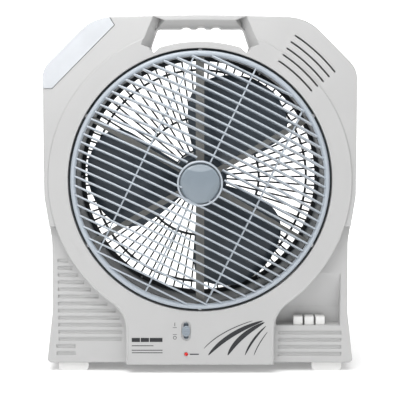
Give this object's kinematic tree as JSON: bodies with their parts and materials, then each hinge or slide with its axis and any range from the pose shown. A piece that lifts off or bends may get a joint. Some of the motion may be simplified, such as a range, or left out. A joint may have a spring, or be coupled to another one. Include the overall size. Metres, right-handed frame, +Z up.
{
  "type": "box fan",
  "caption": "Portable rechargeable box fan with a carry handle, a turning louvre grille, a shoulder lamp and push keys.",
  "frame": {"origin": "under the middle of the fan, on the surface it stands on", "axes": "+X to the fan's left seen from behind (the viewer's right from the front), +Y towards the back, +Z up; the grille faces -Y"},
  "size_m": [0.412, 0.148, 0.4744],
  "materials": {
    "shell_plastic": "fine-textured light grey ABS",
    "duct_plastic": "dark blue-grey moulded",
    "guard_plastic": "charcoal moulded",
    "spider_plastic": "warm light grey moulded",
    "grille_plastic": "pale blue-grey semi gloss",
    "cap_plastic": "blue-grey semi gloss",
    "rotor_plastic": "dark blue-grey semi gloss",
    "steel": "zinc plated",
    "bearing_bronze": "sintered bronze",
    "motor_steel": "plated sheet steel",
    "copper": "enamelled copper",
    "magnet": "ferrite",
    "black_plastic": "black moulded",
    "lamp_glazing": "frosted translucent",
    "white_plastic": "white moulded",
    "board": "green laminate",
    "emitter": "pale yellow phosphor",
    "knob_plastic": "blue-grey moulded",
    "light_lens": "red tinted lens",
    "battery_plastic": "black sealed case",
    "lead_sleeve": "PVC insulation"
  },
  "bodies": {
    "housing": {"front_shell": "shell_plastic", "rear_shell": "shell_plastic", "duct_shroud": "duct_plastic", "rear_guard": "guard_plastic", "front_spider": "spider_plastic", "grille_axle": "steel", "axle_screw": "steel", "motor_case": "motor_steel", "motor_magnets": "magnet", "motor_end_cap": "black_plastic", "motor_bush_front": "bearing_bronze", "motor_bush_rear": "bearing_bronze", "motor_cover": "guard_plastic", "motor_screws": "steel", "lamp_diffuser": "lamp_glazing", "lamp_tray": "white_plastic", "lamp_board": "board", "lamp_emitters": "emitter", "key_switch_block": "black_plastic", "slide_switch_body": "knob_plastic", "charge_light": "light_lens", "control_board": "board", "board_parts": "black_plastic", "transformer_core": "motor_steel", "transformer_coil": "copper", "battery": "battery_plastic", "battery_terminals": "steel", "battery_cradle": "black_plastic", "mains_inlet": "black_plastic", "inlet_pins": "steel", "foot_front_left": "white_plastic", "foot_front_right": "white_plastic", "foot_rear_left": "white_plastic", "foot_rear_right": "white_plastic", "foot_screws": "steel", "shell_screws": "steel", "guard_screws": "steel", "spider_screws": "steel", "lamp_lead": "lead_sleeve", "motor_lead": "lead_sleeve", "battery_lead": "lead_sleeve"},
    "grille": {"louvre_grille": "grille_plastic", "grille_bush": "bearing_bronze", "hub_cap": "cap_plastic"},
    "rotor": {"fan_rotor": "rotor_plastic", "rotor_nut": "rotor_plastic", "motor_shaft": "steel", "armature": "motor_steel", "commutator": "copper"},
    "key_1": {"push_key_1": "white_plastic"},
    "key_2": {"push_key_2": "white_plastic"},
    "key_3": {"push_key_3": "white_plastic"},
    "lamp_switch": {"slide_knob": "knob_plastic"}
  },
  "joints": [
    {"name": "grille_spin", "type": "hinge", "parent": "housing", "child": "grille", "pos_m": [0, -0.058, 0.258], "axis": [0, -1, 0], "continuous": true},
    {"name": "fan_spin", "type": "hinge", "parent": "housing", "child": "rotor", "pos_m": [0, 0, 0.258], "axis": [0, -1, 0], "continuous": true},
    {"name": "key_1_press", "type": "slide", "parent": "housing", "child": "key_1", "axis": [0, 0, -1], "range_m": [0, 0.004], "stiffness_N_per_m": 400, "springref_m": -0.001},
    {"name": "key_2_press", "type": "slide", "parent": "housing", "child": "key_2", "axis": [0, 0, -1], "range_m": [0, 0.004], "stiffness_N_per_m": 400, "springref_m": -0.001},
    {"name": "key_3_press", "type": "slide", "parent": "housing", "child": "key_3", "axis": [0, 0, -1], "range_m": [0, 0.004], "stiffness_N_per_m": 400, "springref_m": -0.001},
    {"name": "lamp_switch_slide", "type": "slide", "parent": "housing", "child": "lamp_switch", "axis": [0, 0, 1], "range_m": [-0.0045, 0.0045]}
  ]
}
